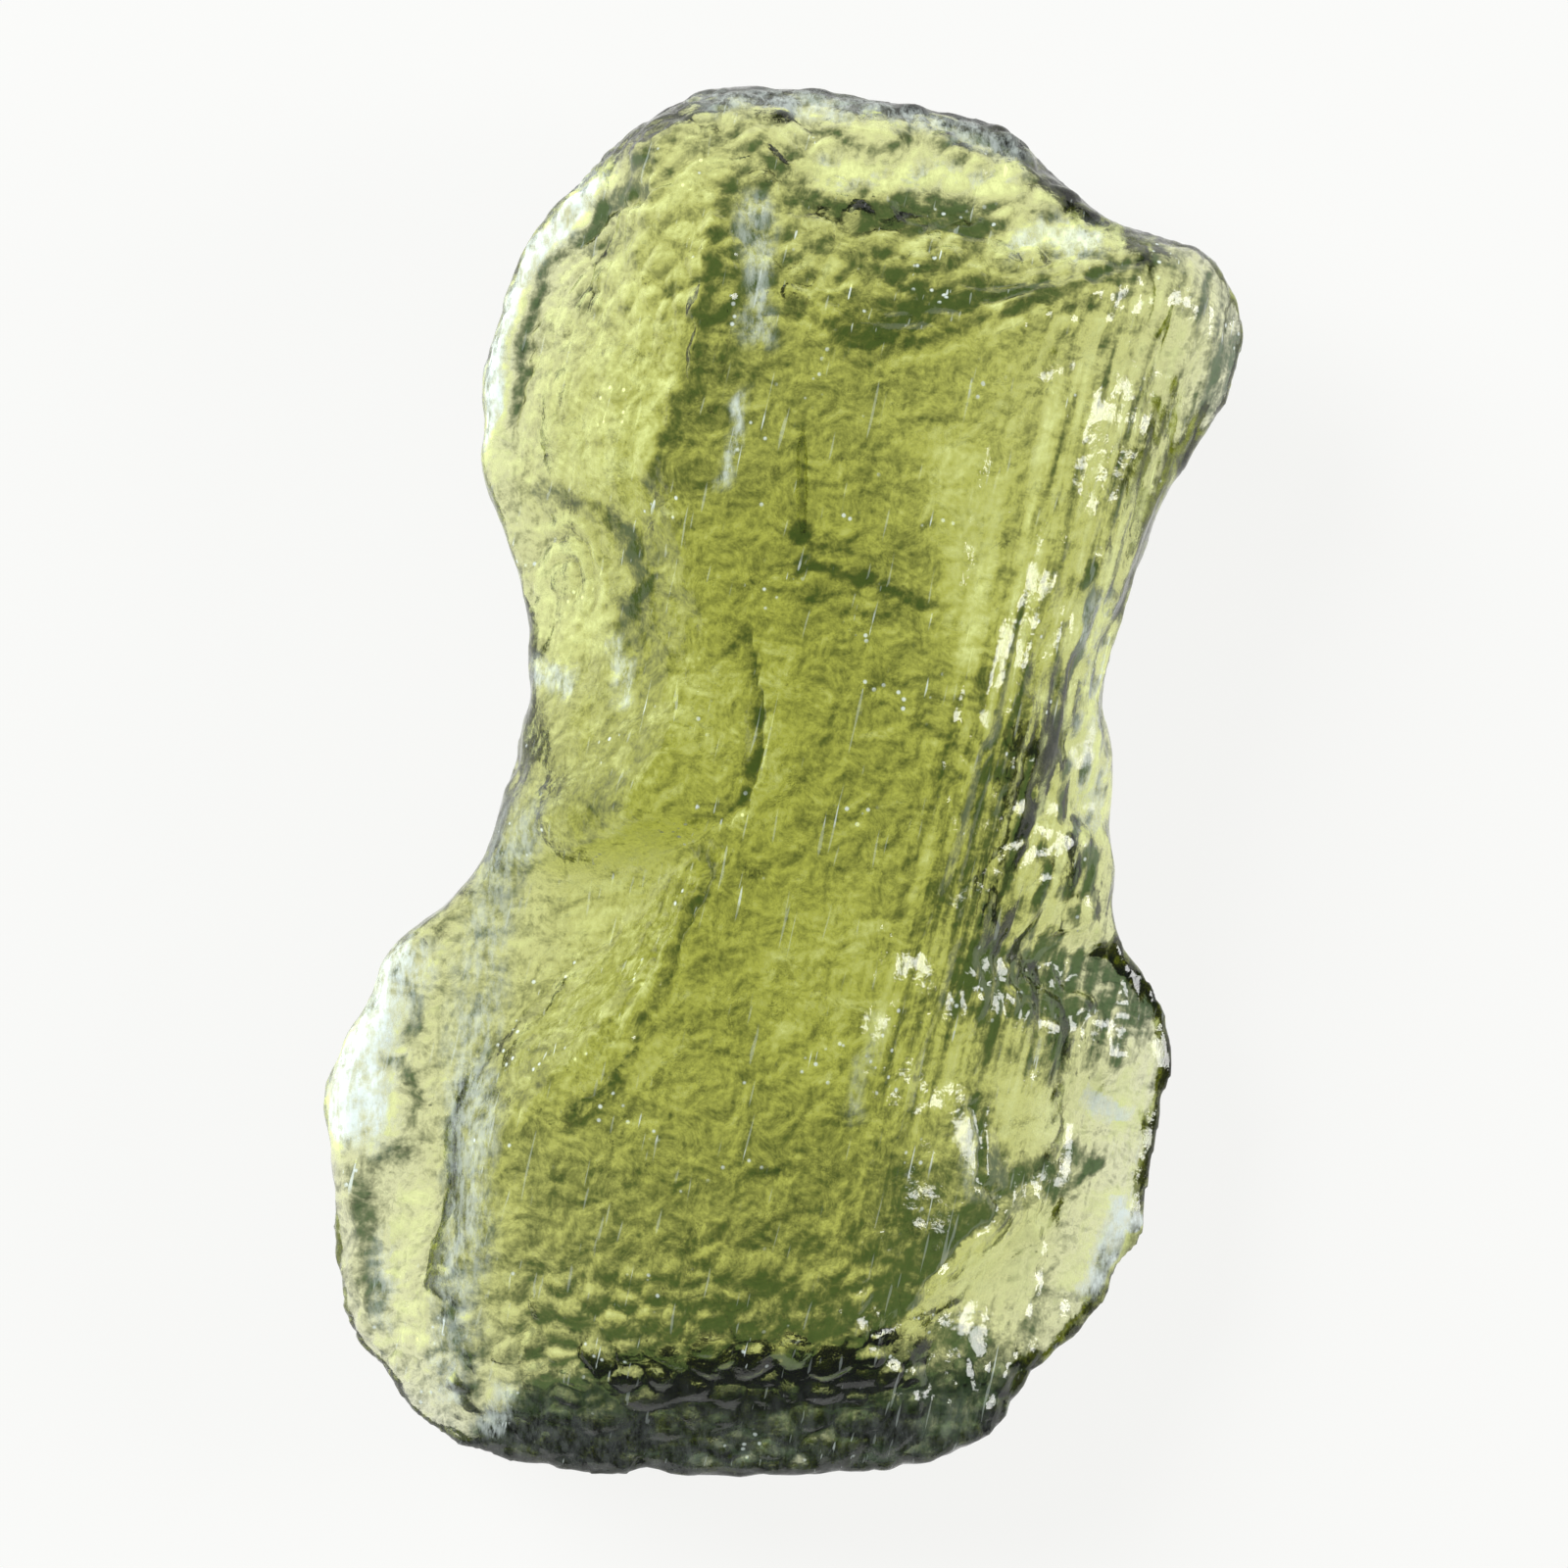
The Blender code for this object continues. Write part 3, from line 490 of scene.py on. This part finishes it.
# The skin's clear colour, and the dark green that the thick body and the painted shade go to; then
# the frosted colour, and the pale yellow of the painted glare.
CLEAR, DEEP_AND_SHADED = (0.98, 0.99, 0.80, 1.0), (0.013, 0.036, 0.012, 1.0)
FROSTED, PAINTED_GLARE_YELLOW = (0.78, 0.86, 0.80, 1.0), (0.84, 0.90, 0.38, 1.0)

glass = bpy.data.materials.new("green_glass")
glass.use_nodes = True
tree = glass.node_tree
surface = tree.nodes["Principled BSDF"]
ending = tree.nodes["Material Output"]
surface.inputs["IOR"].default_value = GLASS_IOR
surface.inputs["Transmission Weight"].default_value = 1.0
place = Shade(tree, None).node("ShaderNodeTexCoord", output="Object")
shade_here, frost_here, grain_here = [
    place.node("ShaderNodeAttribute", {"attribute_name": name}, output="Fac")
    for name in ("shade", "frost", "grain")
]

# Wrinkles get painted light and shade from one side: each is painted darker where the noise falls
# off towards that side, and lighter where it rises.
WRINKLE = {"scale": 1500.0, "detail": 5.0, "Roughness": 0.68, "Distortion": 0.4}
WRINKLE_SIDE = (0.00007, -0.00012, 0.0)
LINES_TURN = (0.0, 0.0, -math.radians(FLOW_BEARING + 3))
LINES_STRETCH = (420.0, 5200.0, 1500.0)
GROUND, WRINKLED, WRINKLE_PAINTED_LIGHT, DUSTY, LINED = 0.02, 1.0, 2.2, 0.7, 2.6
wrinkles = place.noise(**WRINKLE)
beside = place.vector("ADD", WRINKLE_SIDE).noise(**WRINKLE)
dust = place.noise(8000.0, 2.0)
turned = place.node("ShaderNodeMapping", Vector=place, Rotation=LINES_TURN)
lines = turned.vector("MULTIPLY", LINES_STRETCH).noise(1.0, 2.0, Roughness=0.6)
darker = GROUND + shade_here + WRINKLED * (wrinkles - 0.5) + WRINKLE_PAINTED_LIGHT * (wrinkles - beside)
darker = darker + DUSTY * (dust - 0.5) + LINED * grain_here * (lines - 0.5)

# What the skin lets pass levels off softly above a least value. Light crosses the painted skin
# once, so the paint goes by the square.
DARKENING, PASSED_LEAST, LEVELLING = 0.95, 0.08, 0.50
passed = place.node(
    "ShaderNodeMath", {"operation": "SMOOTH_MAX"},
    i0=1.0 - DARKENING * darker, i1=PASSED_LEAST, i2=LEVELLING,
)
painted = (1.0 - passed * passed).mix(CLEAR, DEEP_AND_SHADED)
tree.links.new(painted.socket, surface.inputs["Base Color"])

# Scattering skin and painted light: patches of frost, a painted glare tinted pale yellow on the
# brightest painted places, long scratches and a few bright specks.
SCRATCH_STRETCH, PATCH_STRETCH = (620.0, 9500.0, 3000.0), (4600.0, 1700.0, 3000.0)
GLARE_FROM, GLARE_SHARE, GLARE_TINT, FROST_WHITENS = 0.02, 0.55, 6.0, 1.6
SCRATCH_SHARE, SCRATCH_SHARE_MORE, SPECK_SHARE = 0.18, 0.45, 0.7
scratches = turned.vector("MULTIPLY", SCRATCH_STRETCH).noise(1.0, 1.0).between(0.69, 0.74)
patches = place.vector("MULTIPLY", PATCH_STRETCH).noise(1.0, 5.0, Roughness=0.75)
painted_glare = place.maths("MAXIMUM", -1.0 * darker - GLARE_FROM, 0.0)
specks = place.node("ShaderNodeTexVoronoi", Vector=place, Scale=3600.0).between(0.22, 0.10)
few = place.noise(800.0, 1.0).between(0.60, 0.66)
white = frost_here * patches.between(0.34, 0.66) + GLARE_SHARE * painted_glare
white = white + scratches * (SCRATCH_SHARE + SCRATCH_SHARE_MORE * few) + SPECK_SHARE * specks * few

peel_bump = place.noise(5200.0, 3.0)
bump = place.node("ShaderNodeBump", Height=peel_bump, Strength=0.35, Distance=0.00004)
tree.links.new(bump.socket, surface.inputs["Normal"])
tree.links.new((0.08 + 0.28 * frost_here).socket, surface.inputs["Roughness"])
frost_and_glare_colour = (GLARE_TINT * painted_glare * (1.0 - FROST_WHITENS * frost_here)).mix(FROSTED, PAINTED_GLARE_YELLOW)
frost_and_glare_skin = place.node(
    "ShaderNodeBsdfPrincipled", Base_Color=frost_and_glare_colour, Roughness=0.5, IOR=GLASS_IOR, Normal=bump
)
mixed = place.node("ShaderNodeMixShader", i0=white, i1=Shade(tree, surface.outputs[0]), i2=frost_and_glare_skin)
tree.links.new(mixed.socket, ending.inputs["Surface"])
inside = place.node(
    "ShaderNodeVolumeAbsorption", Color=(*GLASS_LEFT, 1.0), Density=GLASS_THINNING
)
tree.links.new(inside.socket, ending.inputs["Volume"])
stone_mesh.materials.clear()
stone_mesh.materials.append(glass)
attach(stone, "root")
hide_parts("moldavite")


# The floor is a plain pale sheet that glows evenly, as a light pad under a stone does.
FLOOR_HALF, FLOOR_DROP = 0.4, 0.00003
FLOOR_GREY, FLOOR_GLOW = (0.08, 0.08, 0.08, 1.0), (1.0, 1.0, 0.98, 1.0)
FLOOR_ROUGHNESS, FLOOR_GLOW_STRENGTH = 0.7, 0.86
sheet = bmesh.new()
bmesh.ops.create_grid(sheet, x_segments=1, y_segments=1, size=FLOOR_HALF)
bmesh.ops.translate(sheet, vec=(0, 0, -FLOOR_DROP), verts=sheet.verts)
floor_mesh = bpy.data.meshes.new("floor")
sheet.to_mesh(floor_mesh)
sheet.free()
floor = bpy.data.objects.new("floor", floor_mesh)
scene.collection.objects.link(floor)
pale = bpy.data.materials.new("pale_floor")
pale.use_nodes = True
floor_surface = pale.node_tree.nodes["Principled BSDF"]
floor_surface.inputs["Base Color"].default_value = FLOOR_GREY
floor_surface.inputs["Roughness"].default_value = FLOOR_ROUGHNESS
floor_surface.inputs["Emission Color"].default_value = FLOOR_GLOW
floor_surface.inputs["Emission Strength"].default_value = FLOOR_GLOW_STRENGTH
floor_mesh.materials.append(pale)


# Soft lights: a large one from the upper left, and a weaker one from the right that also gives
# the stone its glints. Neither is seen through the glass.
def soft_light(name, place, size, watts, colour, glints):
    lamp = bpy.data.lights.new(name, "AREA")
    lamp.shape = "ELLIPSE"
    lamp.size, lamp.size_y = size
    lamp.energy = watts
    lamp.color = colour
    light = bpy.data.objects.new(name, lamp)
    light.location = place
    light.rotation_euler = Vector(place).to_track_quat("Z", "Y").to_euler()
    light.visible_transmission = False
    light.visible_glossy = glints
    scene.collection.objects.link(light)


soft_light("upper left", (-0.36, 0.26, 0.30), (0.36, 0.36), 4.4, (0.95, 0.98, 1.0), False)
soft_light("right", (0.50, 0.04, 0.19), (0.20, 0.30), 1.8, (1.0, 1.0, 1.0), True)
ROOM_COLOUR = (0.18, 0.19, 0.20, 1.0)
world = bpy.data.worlds.new("dim_room")
world.use_nodes = True
world.node_tree.nodes["Background"].inputs["Color"].default_value = ROOM_COLOUR
scene.world = world
scene.cycles.max_bounces = 10
scene.cycles.transmission_bounces = 8
scene.cycles.caustics_reflective = False
scene.cycles.caustics_refractive = False


# The camera looks straight down on the stone through a long lens.
VIEW_MM, LENS, SENSOR = 33.6, 200.0, 36.0
AIM_Y, AIM_Z = -0.00006, 0.0045
camera_data = bpy.data.cameras.new("camera")
camera_data.lens = LENS
camera_data.sensor_width = SENSOR
camera_data.clip_start = 0.001
camera = bpy.data.objects.new("camera", camera_data)
camera.location = (0.0, AIM_Y, AIM_Z + VIEW_MM * MM * LENS / SENSOR)
scene.collection.objects.link(camera)
scene.camera = camera
scene.view_settings.view_transform = "Standard"
